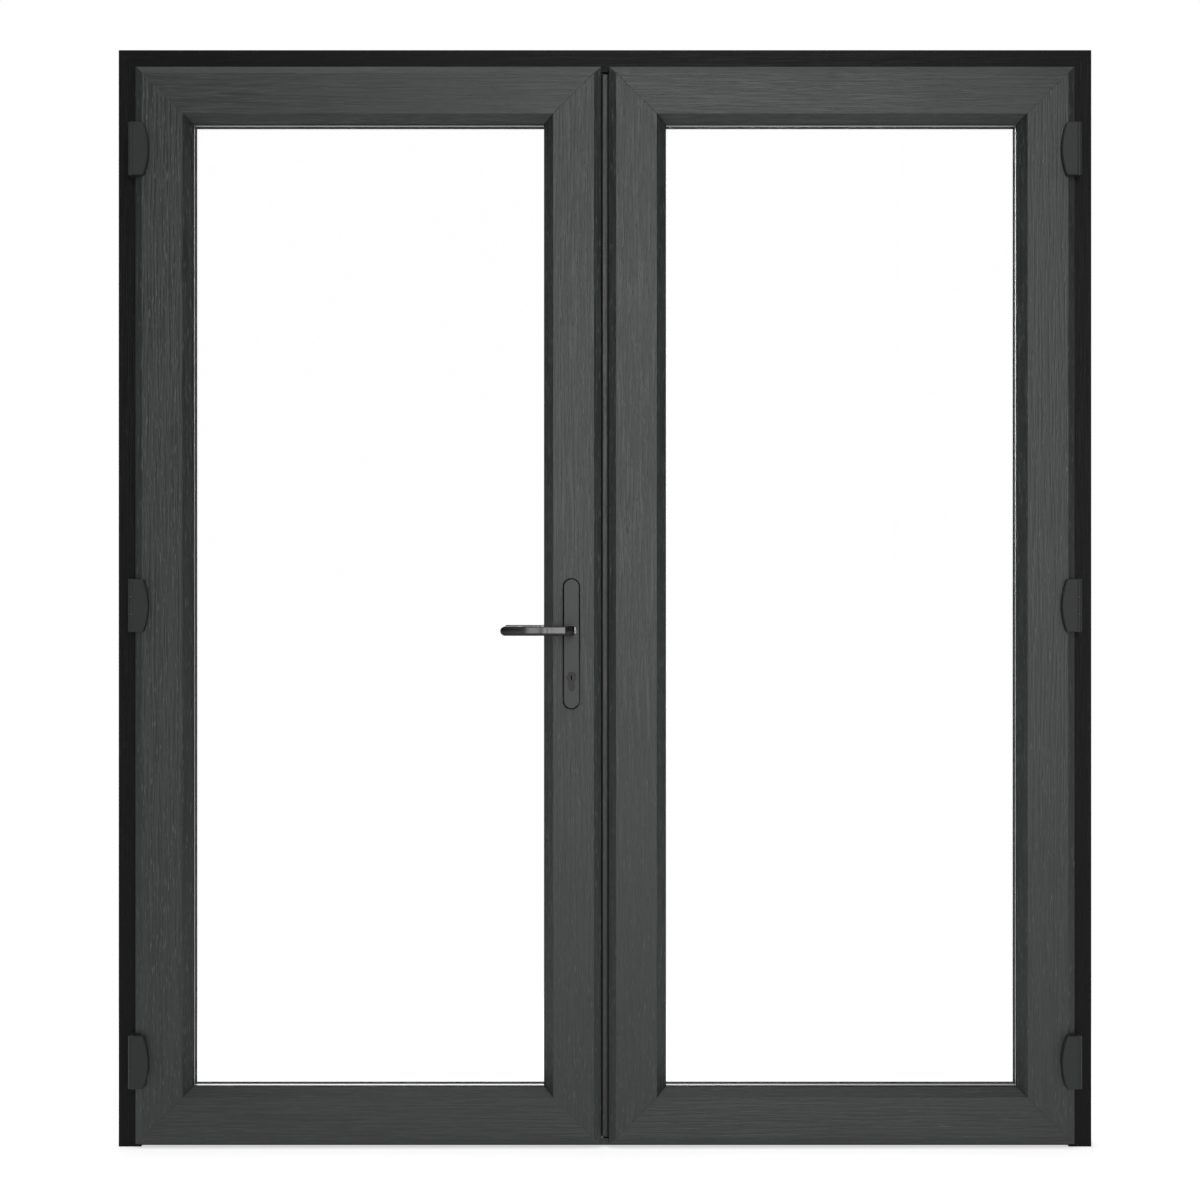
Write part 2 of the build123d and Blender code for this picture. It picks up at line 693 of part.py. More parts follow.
latch_height = spindle_height + latch_rise
deadbolt_height = spindle_height - deadbolt_drop
latch_room = bolt_room(latch_height - latch_width / 2, latch_height + latch_width / 2, latch_thickness)
deadbolt_room = bolt_room(
    deadbolt_height - deadbolt_width / 2, deadbolt_height + deadbolt_width / 2, latch_thickness
)
hook_rooms = {z: bolt_room(z - hook_width, z + 34, hook_thickness + 2) for z in hook_heights.values()}
keeps = [(deadbolt_height - 35, latch_height + 30, [bolt_hole(latch_room), bolt_hole(deadbolt_room)])]
keeps += [(z - 40, z + 60, [bolt_hole(room)]) for z, room in hook_rooms.items()]
for z0, z1, holes in keeps:
    mullion -= holes
    recess = block(nose_x, nose_x + keep_thickness, hardware_y - keep_width / 2, hardware_y + keep_width / 2, z0, z1)
    mullion -= fillet(recess.edges().filter_by(Axis.X), 5)
save("mullion_keeps", group([keep_plate(*keep) for keep in keeps]))

shoot_top_z = mullion_high - 0.5
shoot_low_z = mullion_low + 0.5
slider_z = {"top": shoot_top_z - shoot_length + 40, "bottom": shoot_low_z + shoot_length - 40}
for end, z in slider_z.items():
    reach = shoot_travel + slider_height / 2 + 1.5
    mullion -= block(nose_x - 1, nose_x + mullion_wall + 1, hardware_y - 4.5, hardware_y + 4.5, z - reach, z + reach)

# The mullion's lengths between the bolt openings, its walls beside them and its cover.
mullion_regions = [block(nose_x, body_edge + mullion_cover, leaf_back, frame_in, mullion_low, mullion_high)]
length_start = mullion_low
for room in sorted([latch_room, deadbolt_room, *hook_rooms.values()], key=lambda limits: limits[2]):
    mullion_regions.append(block(nose_x, body_edge, frame_out, leaf_back, length_start, room[2]))
    mullion_regions += round_room(room)
    length_start = room[3]
mullion_regions.append(block(nose_x, body_edge, frame_out, leaf_back, length_start, mullion_high))
save("floating_mullion", group(parted(mullion, mullion_regions)))

caps = []
for z0, z1, inside in ((mullion_low, mullion_low + mullion_cap, mullion_low + mullion_cap + 8),
                       (mullion_high - mullion_cap, mullion_high, mullion_high - mullion_cap - 8)):
    cap = along_z(mullion_section, z0, z1)
    low, high = sorted((inside, z1 if inside > z1 else z0))
    cap += block(nose_x + mullion_wall + 0.2, body_edge - mullion_wall - 0.2, frame_out + mullion_wall + 0.2,
                 leaf_back - mullion_wall - 0.2, low, high)
    caps.append(cap - rod((shoot_x, hardware_y, z0 - 20), (0, 0, 1), 50, shoot_radius + running))
save("mullion_end_caps", group(caps))

free_seal = block(nose_x - mullion_seal_width, nose_x, frame_out + 1, frame_out + 6, mullion_low, mullion_high)
free_seal = fillet(free_seal.edges().filter_by(Axis.Z).group_by(Axis.X)[0], 1.2)
face_seal = block(mullion_face_seen, meet_edge + 4, flange_back, frame_out, mullion_low, mullion_high)
save("mullion_seals", group([free_seal, face_seal]))

for end, direction in (("top", 1), ("bottom", -1)):
    tip = shoot_top_z if direction > 0 else shoot_low_z
    bolt = rod((shoot_x, hardware_y, tip), (0, 0, -direction), shoot_length, shoot_radius)
    bolt = chamfer(bolt.edges().sort_by(Axis.Z)[-1 if direction > 0 else 0], 1)
    z = slider_z[end]
    slider = block(nose_x + 0.5, shoot_x, hardware_y - 4, hardware_y + 4, z - slider_height / 2,
                   z + slider_height / 2)
    save(f"{end}_shoot_bolt", bolt + slider)

# Lock in the left leaf's meeting stile.
carrier = block(-body_edge, faceplate_x, hardware_y - carrier_width / 2, hardware_y + carrier_width / 2,
                leaf_low + flange_width + carrier_end_gap, leaf_high - flange_width - carrier_end_gap)
carrier -= [
    block(-body_edge - 1, faceplate_x + 1, hardware_y - case_thickness / 2 - 0.5, hardware_y + case_thickness / 2 + 0.5,
          z0 - 1, z1 + 1)
    for z0, z1 in [(case_low, case_high)] + [(z - hook_case_low, z + hook_case_high) for z in hook_heights.values()]
]
save("lock_carrier", carrier)

faceplate_low = hook_heights["lower"] - faceplate_past_hooks
faceplate_high = hook_heights["upper"] + faceplate_past_hooks
faceplate = block(faceplate_x, lock_front, hardware_y - faceplate_width / 2, hardware_y + faceplate_width / 2,
                  faceplate_low, faceplate_high)
faceplate = fillet(faceplate.edges().filter_by(Axis.X), 7.5)
slot_half = latch_thickness / 2 + fit


def plate_slot(z0, z1, half):
    return block(faceplate_x - 1, lock_front + 1, hardware_y - half, hardware_y + half, z0, z1)


latch_z = (latch_height - latch_width / 2, latch_height + latch_width / 2)
deadbolt_z = (deadbolt_height - deadbolt_width / 2, deadbolt_height + deadbolt_width / 2)
faceplate -= [plate_slot(z0 - fit, z1 + fit, slot_half) for z0, z1 in (latch_z, deadbolt_z)]
faceplate -= [
    plate_slot(z - hook_width / 2 - 2, z + hook_length - 1, hook_thickness / 2 + 0.5) for z in hook_heights.values()
]
save("lock_faceplate", faceplate)

case_rear = spindle_x - case_back
case = block(case_rear, faceplate_x, hardware_y - case_thickness / 2, hardware_y + case_thickness / 2,
             case_low, case_high)
for z0, z1 in (latch_z, deadbolt_z):
    case -= block(lock_front - bolt_length - 6, faceplate_x + 1, hardware_y - slot_half, hardware_y + slot_half,
                  z0 - fit, z1 + fit)
case -= rod((spindle_x, hardware_y - case_thickness, spindle_height), (0, 1, 0), 2 * case_thickness,
            hub_radius + running)
case -= along_cylinder(euro_outline(0.4), hardware_y - case_thickness, hardware_y + case_thickness)
case -= rod((spindle_x, hardware_y - cam_width / 2 - 0.6, cylinder_height), (0, 1, 0), cam_width + 1.2,
            cam_radius + 0.6)
hook_cases = []
for z in hook_heights.values():
    shell = block(hook_case_back, faceplate_x, hardware_y - case_thickness / 2, hardware_y + case_thickness / 2,
                  z - hook_case_low, z + hook_case_high)
    shell -= block(hook_case_back + 2, faceplate_x + 1, hardware_y - hook_thickness / 2 - fit,
                   hardware_y + hook_thickness / 2 + fit, z - hook_case_low + 2, z + hook_case_high - 2)
    shell -= rod((hook_pivot_x, hardware_y - case_thickness, z), (0, 1, 0), 2 * case_thickness,
                 hook_pivot_radius + running)
    hook_cases.append(shell)
save("lock_case", case)
save("hook_cases", group(hook_cases))

hub = rod((spindle_x, hardware_y - case_thickness / 2, spindle_height), (0, 1, 0), case_thickness, hub_radius)
spindle_hole = block(spindle_x - spindle_side / 2 - running, spindle_x + spindle_side / 2 + running, -200, 200,
                     spindle_height - spindle_side / 2 - running, spindle_height + spindle_side / 2 + running)
save("lock_hub", hub - spindle_hole)

latch_nose = lock_front + 0.5
latch = along_z([
    (latch_nose - bolt_length, hardware_y - latch_thickness / 2),
    (latch_nose, hardware_y - latch_thickness / 2),
    (latch_nose - 8, hardware_y + latch_thickness / 2),
    (latch_nose - bolt_length, hardware_y + latch_thickness / 2),
], *latch_z)
save("latch", latch)
deadbolt = block(lock_front - bolt_length, lock_front, hardware_y - latch_thickness / 2,
                 hardware_y + latch_thickness / 2, *deadbolt_z)
save("deadbolt", chamfer(deadbolt.faces().sort_by(Axis.X)[-1].edges(), 0.8))

for name, z in hook_heights.items():
    half = hook_width / 2
    hook = along_y([
        (hook_pivot_x - half, z - half),
        (hook_pivot_x + half, z - half),
        (hook_pivot_x + half, z + hook_length - 18),
        (hook_pivot_x + half - 7, z + hook_length - 18),
        (hook_pivot_x + half - 4, z + hook_length - 6),
        (hook_pivot_x - 2, z + hook_length),
        (hook_pivot_x - half, z + hook_length - 6),
    ], hardware_y - hook_thickness / 2, hardware_y + hook_thickness / 2)
    pivot = rod((hook_pivot_x, hardware_y - case_thickness / 2, z), (0, 1, 0), case_thickness, hook_pivot_radius)
    save(f"{name}_hook", hook + pivot)

# Handle set and cylinder.


def backplate(y0, direction):
    """Long hollow plate with a bevelled edge, from the leaf's surface outwards."""
    base = Plane(origin=(spindle_x, y0, plate_centre), x_dir=(1, 0, 0), z_dir=(0, direction, 0))
    plate = extrude(base * SlotOverall(plate_height, plate_width, rotation=90), amount=plate_thickness)
    front = plate.faces().sort_by(Axis.Y)[-1 if direction > 0 else 0]
    plate = chamfer(front.edges(), plate_bevel)
    rib = hub_radius + plate_wall
    pocket_side = plate_width / 2 - plate_wall
    pockets = [(spindle_height + rib, screw_heights[1] - rib), (cylinder_height + rib, spindle_height - rib)]
    for z0, z1 in pockets:
        if z1 - z0 > plate_wall:
            y1, y2 = sorted((y0 - direction, y0 + direction * (plate_thickness - plate_wall)))
            plate -= block(spindle_x - pocket_side, spindle_x + pocket_side, y1, y2, z0, z1)
    plate -= rod((spindle_x, y0 - 20, spindle_height), (0, 1, 0), 40, boss_radius - 1 + running)
    plate -= along_cylinder(euro_outline(fit), y0 - 2 * plate_thickness, y0 + 2 * plate_thickness)
    return plate


outside_plate = backplate(leaf_face, -1)
inside_plate = backplate(leaf_back, 1)
plate_out = leaf_face - plate_thickness
plate_in = leaf_back + plate_thickness
for z in screw_heights:
    outside_plate -= rod((spindle_x, leaf_face + 1, z), (0, -1, 0), plate_thickness - 2, screw_radius)
    inside_plate -= rod((spindle_x, leaf_back - 1, z), (0, 1, 0), plate_thickness + 2, screw_radius + 0.2)
    inside_plate -= rod((spindle_x, plate_in - 2.5, z), (0, 1, 0), 4, 2 * screw_radius + 0.2)
save("outside_backplate", outside_plate)
save("inside_backplate", inside_plate)

screws = []
for z in screw_heights:
    screw = rod((spindle_x, leaf_face - 5, z), (0, 1, 0), plate_in - 2.5 - leaf_face + 5, screw_radius - seat)
    screws.append(screw + rod((spindle_x, plate_in - 2.5, z), (0, 1, 0), 2.3, 2 * screw_radius))
save("handle_screws", group(screws))


def arm_section(width, height, bevel):
    """Flat bar with bevelled corners, across the lever's line."""
    a, b = width / 2, height / 2
    corners = [(a - bevel, b), (a, b - bevel), (a, bevel - b), (a - bevel, -b),
               (bevel - a, -b), (-a, bevel - b), (-a, b - bevel), (bevel - a, b)]
    return Polygon(*corners, align=None)


def lever(y_plate, direction):
    """Round boss that turns through a bend into a flat arm."""
    middle = y_plate + direction * lever_standoff
    root = y_plate + direction * boss_length
    path = FilletPolyline((spindle_x, root - direction * 4, spindle_height), (spindle_x, middle, spindle_height),
                          (spindle_x - lever_reach, middle, spindle_height), radius=lever_bend)
    start = Plane(origin=(spindle_x, root - direction * 4, spindle_height), x_dir=(1, 0, 0), z_dir=(0, direction, 0))
    arm = sweep(start * arm_section(lever_thickness, lever_height, lever_bevel), path=path)
    tip = arm.faces().sort_by(Axis.X)[0]
    arm = chamfer(tip.edges(), lever_tip_bevel)
    boss = rod((spindle_x, y_plate + direction * fit, spindle_height), (0, direction, 0), boss_length, boss_radius)
    neck = rod((spindle_x, y_plate - direction * (plate_thickness - 2), spindle_height), (0, direction, 0),
               plate_thickness, boss_radius - 1)
    handle = boss + arm + neck
    hole = spindle_side / 2 + running
    return handle - block(spindle_x - hole, spindle_x + hole,
                          *sorted((y_plate - direction * 20, y_plate + direction * (spindle_overhang + 2))),
                          spindle_height - hole, spindle_height + hole)


save("outside_lever", lever(plate_out, -1))
save("inside_lever", lever(plate_in, 1))
spindle = block(spindle_x - spindle_side / 2, spindle_x + spindle_side / 2, plate_out - spindle_overhang,
                plate_in + spindle_overhang,
                spindle_height - spindle_side / 2, spindle_height + spindle_side / 2)
save("spindle", chamfer(spindle.edges().filter_by(Axis.Y), 0.6))

cylinder_out = plate_out - cylinder_proud
cylinder_in = plate_in + cylinder_proud
cylinder = along_cylinder(euro_outline(0), cylinder_out, cylinder_in)
cylinder -= rod((spindle_x, cylinder_out - 1, cylinder_height), (0, 1, 0), cylinder_in - cylinder_out + 2,
                plug_radius + running)
cylinder -= block(spindle_x - 20, spindle_x + 20, hardware_y - cam_width / 2 - 0.3, hardware_y + cam_width / 2 + 0.3,
                  cylinder_height - cam_radius - 0.4, cylinder_height + 20)
save("cylinder_body", cylinder)
cam = rod((spindle_x, hardware_y - cam_width / 2, cylinder_height), (0, 1, 0), cam_width, cylinder_head - 0.5)
cam += block(spindle_x - 4, spindle_x + 4, hardware_y - cam_width / 2, hardware_y + cam_width / 2,
             cylinder_height - cam_radius + 1.0, cylinder_height)
save("cylinder_cam", cam)
for name, y0, y1 in (("outside", cylinder_out - 0.8, hardware_y - cam_width / 2),
                     ("inside", hardware_y + cam_width / 2, cylinder_in + 0.8)):
    plug = rod((spindle_x, y0, cylinder_height), (0, 1, 0), y1 - y0, plug_radius)
    keyway_y = (y0 - 1, y0 + 28) if name == "outside" else (y1 - 28, y1 + 1)
    plug -= block(spindle_x - 1.1, spindle_x + 1.1, *keyway_y, cylinder_height - 4.5, cylinder_height + 3.5)
    save(f"cylinder_{name}_plug", plug)
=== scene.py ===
import json
import math

import bmesh
import bpy
from mathutils import Matrix, Vector


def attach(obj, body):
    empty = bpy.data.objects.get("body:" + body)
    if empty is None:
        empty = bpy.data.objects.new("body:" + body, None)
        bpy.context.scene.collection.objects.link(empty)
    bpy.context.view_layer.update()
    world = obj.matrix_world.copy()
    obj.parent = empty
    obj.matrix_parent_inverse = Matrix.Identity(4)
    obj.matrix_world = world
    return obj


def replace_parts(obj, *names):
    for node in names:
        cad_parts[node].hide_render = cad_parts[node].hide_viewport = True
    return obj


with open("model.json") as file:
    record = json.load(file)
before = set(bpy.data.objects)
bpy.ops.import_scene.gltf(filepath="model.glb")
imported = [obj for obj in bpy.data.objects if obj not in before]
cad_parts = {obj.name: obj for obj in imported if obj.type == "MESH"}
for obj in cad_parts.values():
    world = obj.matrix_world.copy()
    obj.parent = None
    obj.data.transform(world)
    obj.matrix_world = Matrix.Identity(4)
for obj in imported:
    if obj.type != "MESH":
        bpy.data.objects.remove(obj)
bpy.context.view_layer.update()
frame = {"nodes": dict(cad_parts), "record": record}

nodes = frame["nodes"]
print("frame loaded:", len(nodes), "pieces")

# Camera: straight on from outside, a little left of the middle, as in the photograph.
view = {"x": -0.0092, "z": 1.006, "distance": 4.0, "frontPlane": -0.035, "lens": 65.2}
cameraData = bpy.data.cameras.new("camera")
cameraData.lens = view["lens"]
cameraData.sensor_width = 36
camera = bpy.data.objects.new("camera", cameraData)
camera.location = (view["x"], view["frontPlane"] - view["distance"], view["z"])
camera.rotation_euler = (math.pi / 2, 0, 0)
bpy.context.scene.collection.objects.link(camera)
bpy.context.scene.camera = camera


class Socket:                                    # a socket that takes part in sums
    def __init__(self, tree, socket=None):
        self.tree = tree
        self.socket = socket

    def node(self, kind, settings=None, inputs=None, output=0):
        made = self.tree.nodes.new(kind)
        for key, value in (settings or {}).items():
            setattr(made, key, value)
        for key, value in (inputs or {}).items():
            if isinstance(value, Socket):
                self.tree.links.new(value.socket, made.inputs[key])
            else:
                made.inputs[key].default_value = value
        return Socket(self.tree, made.outputs[output]) if made.outputs else made

    def maths(self, operation, *values):
        return self.node("ShaderNodeMath", {"operation": operation}, dict(enumerate(values)))

    def __add__(self, other):
        return self.maths("ADD", self, other)

    def __sub__(self, other):
        return self.maths("SUBTRACT", self, other)

    def __rsub__(self, other):
        return self.maths("SUBTRACT", other, self)

    def __mul__(self, other):
        return self.maths("MULTIPLY", self, other)

    def __abs__(self):
        return self.maths("ABSOLUTE", self)

    __radd__ = __add__
    __rmul__ = __mul__

    def least(self, other):
        return self.maths("MINIMUM", self, other)

    def most(self, other):
        return self.maths("MAXIMUM", self, other)

    def fade(self, low, high):                   # 0 at low, 1 at high, smooth between
        return self.node("ShaderNodeMapRange", {"interpolation_type": "SMOOTHSTEP"},
                         {0: self, 1: low, 2: high, 3: 0.0, 4: 1.0})

    def blend(self, first, second):              # two colours or numbers, this one as the factor
        def isColour(value):
            if isinstance(value, Socket):
                return value.socket.type == "RGBA"
            return not isinstance(value, (int, float))

        if isColour(first) or isColour(second):
            return self.node("ShaderNodeMix", {"data_type": "RGBA"}, {0: self, 6: first, 7: second}, 2)
        return self.node("ShaderNodeMix", {"data_type": "FLOAT"}, {0: self, 2: first, 3: second}, 0)


def grey(value):
    return (value, value, value, 1.0)


def srgb(red, green, blue):                      # 0 to 255 as written in a paint card
    def linear(c):
        c = c / 255
        return c / 12.92 if c <= 0.04045 else ((c + 0.055) / 1.055) ** 2.4
    return (linear(red), linear(green), linear(blue), 1.0)


def newMaterial(name):
    made = bpy.data.materials.new(name)
    made.use_nodes = True
    made.node_tree.nodes.clear()
    return made, Socket(made.node_tree)


def surface(pen, **inputs):                      # Principled surface to the material's output
    names = {"colour": "Base Color", "roughness": "Roughness", "metallic": "Metallic", "normal": "Normal",
             "specular": "Specular IOR Level", "transmission": "Transmission Weight", "alpha": "Alpha",
             "ior": "IOR"}
    shader = pen.node("ShaderNodeBsdfPrincipled", {}, {names[key]: value for key, value in inputs.items()})
    pen.node("ShaderNodeOutputMaterial", {}, {"Surface": shader})


def place(pen):                                  # object coordinates and their three parts
    where = pen.node("ShaderNodeTexCoord", output=3)
    parts = [pen.node("ShaderNodeSeparateXYZ", {}, {0: where}, i) for i in range(3)]
    return where, parts


def noise(pen, where, scale, detail=2.0, roughness=0.5, stretch=None):
    if stretch:
        where = pen.node("ShaderNodeMapping", {}, {"Vector": where, "Scale": stretch})
    return pen.node("ShaderNodeTexNoise", {}, {"Vector": where, "Scale": scale, "Detail": detail,
                                               "Roughness": roughness})


def bump(pen, height, strength, distance):
    return pen.node("ShaderNodeBump", {}, {"Strength": strength, "Distance": distance, "Height": height})


# Woodgrain foil. Its grain runs along each length of profile and meets at the mitres.
foil = {
    "leaf": srgb(36, 39, 39), "leafDark": srgb(17, 18, 18), "leafLight": srgb(68, 71, 71),
    "leafSpecular": 0.46,
    # The frame's tones are painted far darker than the leaves', as painted shade on the frame that sits back
    # behind the leaves.
    "frame": srgb(15, 15, 15), "frameDark": srgb(10, 10, 10), "frameLight": srgb(24, 24, 24),
    "frameSpecular": 0.10,
    "roughness": 0.43, "across": 250.0, "along": 9.0, "emboss": 0.0006, "cloud": 5.5,
    "lines": (0.34, 0.68), "pits": (0.60, 0.74),                 # how much of each noise shows
    "mitreLine": (0.0002, 0.0009), "mitreTurn": 0.00015,
}


def foilMaterial(name, tone, box, rails="top and bottom"):
    made, pen = newMaterial(name)
    where, (x, y, z) = place(pen)
    x0, x1, z0, z1 = box
    upright = (x - x0).least(x1 - x)
    if rails == "top and bottom":
        level = (z - z0).least(z1 - z)
    elif rails == "top":
        level = z1 - z
    else:                                                        # far off, so all of it is stile
        level = x * 0.0 + 9.0
    rail = (upright - level).fade(-foil["mitreTurn"], foil["mitreTurn"])     # 1 on rails, 0 on stiles
    mitre = 1 - abs(upright - level).fade(*foil["mitreLine"])
    across, along = foil["across"], foil["along"]
    streaks = []
    for dx, dz in ((across, along), (along, across)):
        fine = noise(pen, where, 1.0, 3.0, 0.62, (dx, across * 0.6, dz))
        pores = noise(pen, where, 1.0, 1.0, 0.5, (dx * 1.9, across, dz * 5.2))
        streaks.append((fine, pores))
    fine = rail.blend(streaks[0][0], streaks[1][0])
    pores = rail.blend(streaks[0][1], streaks[1][1])
    cloud = noise(pen, where, foil["cloud"], 2.0)
    lines = fine.fade(*foil["lines"])
    pits = pores.fade(*foil["pits"])                             # short pressed dashes
    colour = (lines * 0.8 + cloud * 0.3).blend(foil[tone + "Dark"], foil[tone])
    colour = (pits * 0.7).blend(colour, foil[tone + "Light"])
    colour = (mitre * 0.5).blend(colour, foil[tone + "Dark"])
    height = lines * 0.6 - pits * 0.5 - mitre * 0.8
    rough = foil["roughness"] + 0.10 * lines - 0.06 * cloud
    surface(pen, colour=colour, roughness=rough, specular=foil[tone + "Specular"],
            normal=bump(pen, height, 0.6, foil["emboss"]))
    return made


# Left, right, lower and upper edge of what each foil covers.
foilBoxes = {"frame": (-0.895, 0.895, 0.0, 2.018), "mullion": (-1, 1, 0, 2)}
leafBoxes = {"left": (-0.8615, -0.0073, 0.0075, 1.9845), "right": (0.0073, 0.8615, 0.0075, 1.9845)}
foils = {
    "outer_frame": foilMaterial("frameFoilPaintedShade", "frame", foilBoxes["frame"], "top"),
    "floating_mullion": foilMaterial("mullionFoil", "leaf", foilBoxes["mullion"], "none"),
}
for side, edges in leafBoxes.items():
    foils[side + "_sash"] = foilMaterial(side + "LeafFoil", "leaf", edges)
    foils[side + "_glazing_beads"] = foils[side + "_sash"]
print("foil ready")

# Paint, metal, rubber and glass.
finish = {
    "hingePaint": srgb(37, 38, 38), "hingePatch": srgb(42, 43, 43), "hingeRoughness": 0.46,
    "hingeSpecular": 0.22,
    "rubber": srgb(17, 17, 18), "rubberDust": srgb(30, 30, 30), "rubberRoughness": 0.72,
    "rubberSpecular": 0.3,
    # The spacer's hole colour is painted shade inside its fine holes.
    "spacer": srgb(158, 160, 160), "spacerDark": srgb(146, 148, 148), "spacerHoleShade": srgb(70, 70, 70),
    "aluminium": srgb(150, 153, 156), "zinc": srgb(170, 174, 178), "zincDark": srgb(140, 144, 148),
    "steel": srgb(196, 196, 194), "nickel": srgb(46, 47, 46), "threshold": srgb(44, 46, 46),
    "blackPlastic": srgb(28, 28, 29), "plasticDark": srgb(24, 24, 25),
    # The plate's edge colour is painted shade: its bevelled edges are painted near black.
    "plate": srgb(60, 62, 61), "plateDark": srgb(53, 55, 54), "plateEdgeShade": srgb(5, 5, 5),
    "plateRoughness": 0.42, "plateEdgeRoughness": 0.10, "plateSpecular": 0.35,
    "lever": srgb(12, 12, 12), "leverDark": srgb(6, 6, 6), "leverRoughness": 0.08,
    "leverNeckRoughness": 0.42, "leverSpecular": 0.36,
    "outsideArm": (-0.1035, -0.0985), "insideArm": (0.058, 0.063),   # depths between neck and arm
    "glassAlpha": 0.04, "glassTint": srgb(250, 253, 252),
}
texture = {                                      # noise scales, to the metre
    "peel": 900.0, "patch": 30.0, "rubberDust": 60.0, "rubberSkin": 1500.0, "metalSmear": 18.0,
    "spangle": 220.0, "plastic": 1200.0, "plateBrush": (1600.0, 400.0, 60.0), "plateSmear": 40.0,
    "leverSmear": 55.0, "glassDust": 9.0, "spacerHoles": 330.0, "spacerLine": 240.0,
}


def paintMaterial():                             # satin powder coat with a fine orange peel
    made, pen = newMaterial("hingePaint")
    where, _ = place(pen)
    peel = noise(pen, where, texture["peel"], 2.0)
    patch = noise(pen, where, texture["patch"], 3.0)
    colour = patch.blend(finish["hingePaint"], finish["hingePatch"])
    surface(pen, colour=colour, roughness=finish["hingeRoughness"] + 0.08 * patch,
            specular=finish["hingeSpecular"], normal=bump(pen, peel, 0.18, 0.0002))
    return made


def rubberMaterial():
    made, pen = newMaterial("sealRubber")
    where, _ = place(pen)
    dust = noise(pen, where, texture["rubberDust"], 4.0)
    skin = noise(pen, where, texture["rubberSkin"], 1.0)
    surface(pen, colour=(dust.fade(0.5, 0.8) * 0.5).blend(finish["rubber"], finish["rubberDust"]),
            roughness=finish["rubberRoughness"] + 0.1 * dust, specular=finish["rubberSpecular"],
            normal=bump(pen, skin, 0.1, 0.0002))
    return made


def metalMaterial(name, colour, roughness, brushed=(300.0, 300.0, 300.0), metallic=1.0):
    made, pen = newMaterial(name)
    where, _ = place(pen)
    lines = noise(pen, where, 1.0, 3.0, 0.6, brushed)
    smear = noise(pen, where, texture["metalSmear"], 3.0)
    dark = tuple(c * 0.8 for c in colour[:3]) + (1,)
    surface(pen, colour=(lines * 0.7 + smear * 0.3).blend(dark, colour), metallic=metallic,
            roughness=roughness + 0.12 * smear + 0.06 * lines, normal=bump(pen, lines, 0.12, 0.0001))
    return made


def spangleMaterial():                           # galvanised sheet
    made, pen = newMaterial("galvanisedSteel")
    where, _ = place(pen)
    cells = pen.node("ShaderNodeTexVoronoi", {}, {"Vector": where, "Scale": texture["spangle"]}, 1)
    shade = pen.node("ShaderNodeSeparateColor", {}, {0: cells})
    colour = shade.blend(finish["zincDark"], finish["zinc"])
    surface(pen, colour=colour, metallic=0.9, roughness=0.42 + 0.15 * shade)
    return made


def plasticMaterial():
    made, pen = newMaterial("blackPlastic")
    where, _ = place(pen)
    grain = noise(pen, where, texture["plastic"], 2.0)
    surface(pen, colour=grain.blend(finish["plasticDark"], finish["blackPlastic"]),
            roughness=0.5 + 0.1 * grain, normal=bump(pen, grain, 0.15, 0.0002))
    return made


def plateMaterial():                             # satin face with a polished edge, painted near black as painted shade, picked out by the way it faces
    made, pen = newMaterial("handlePlate")
    where, _ = place(pen)
    turned = pen.node("ShaderNodeTexCoord", output=1)
    # face is 1 on the plate's front and 0 on its bevelled edges, which take the painted shade colour
    face = abs(pen.node("ShaderNodeSeparateXYZ", {}, {0: turned}, 1)).fade(0.80, 0.95)
    brushed = noise(pen, where, 1.0, 3.0, 0.6, texture["plateBrush"])
    smear = noise(pen, where, texture["plateSmear"], 2.0)
    satin = brushed.blend(finish["plateDark"], finish["plate"])
    rough = finish["plateRoughness"] + 0.08 * brushed + 0.05 * smear
    surface(pen, colour=face.blend(finish["plateEdgeShade"], satin), metallic=face * 0.35,
            specular=finish["plateSpecular"], roughness=face.blend(finish["plateEdgeRoughness"], rough),
            normal=bump(pen, brushed, 0.08, 0.0001))
    return made


def leverMaterial():                             # polished black arms on satin necks
    made, pen = newMaterial("handleLever")
    where, (_, depth, _) = place(pen)
    smear = noise(pen, where, texture["leverSmear"], 3.0)
    outer = 1 - depth.fade(*finish["outsideArm"])                # 1 on the arm, 0 on the neck behind it
    grip = outer.most(depth.fade(*finish["insideArm"]))
    polish = finish["leverRoughness"] + 0.05 * smear
    surface(pen, colour=smear.blend(finish["leverDark"], finish["lever"]), metallic=0.0,
            specular=finish["leverSpecular"], roughness=grip.blend(finish["leverNeckRoughness"], polish))
    return made


def glassMaterial():
    made, pen = newMaterial("clearGlass")
    where, _ = place(pen)
    dust = noise(pen, where, texture["glassDust"], 4.0)
    surface(pen, colour=finish["glassTint"], roughness=0.012 * dust, transmission=1.0, ior=1.45,
            alpha=finish["glassAlpha"])
    return made


def spacerMaterial():                            # rolled aluminium with rows of fine holes, painted dark as painted shade inside them
    made, pen = newMaterial("spacerBar")
    where, _ = place(pen)
    dots = pen.node("ShaderNodeTexVoronoi", {},
                    {"Vector": where, "Scale": texture["spacerHoles"], "Randomness": 0.0}, 0)
    holes = 1 - dots.fade(0.14, 0.26)
    line = noise(pen, where, texture["spacerLine"], 2.0)
    rolled = line.blend(finish["spacerDark"], finish["spacer"])
    surface(pen, colour=(holes * 0.5).blend(rolled, finish["spacerHoleShade"]), metallic=0.35,
            roughness=0.45 + 0.1 * line)
    return made


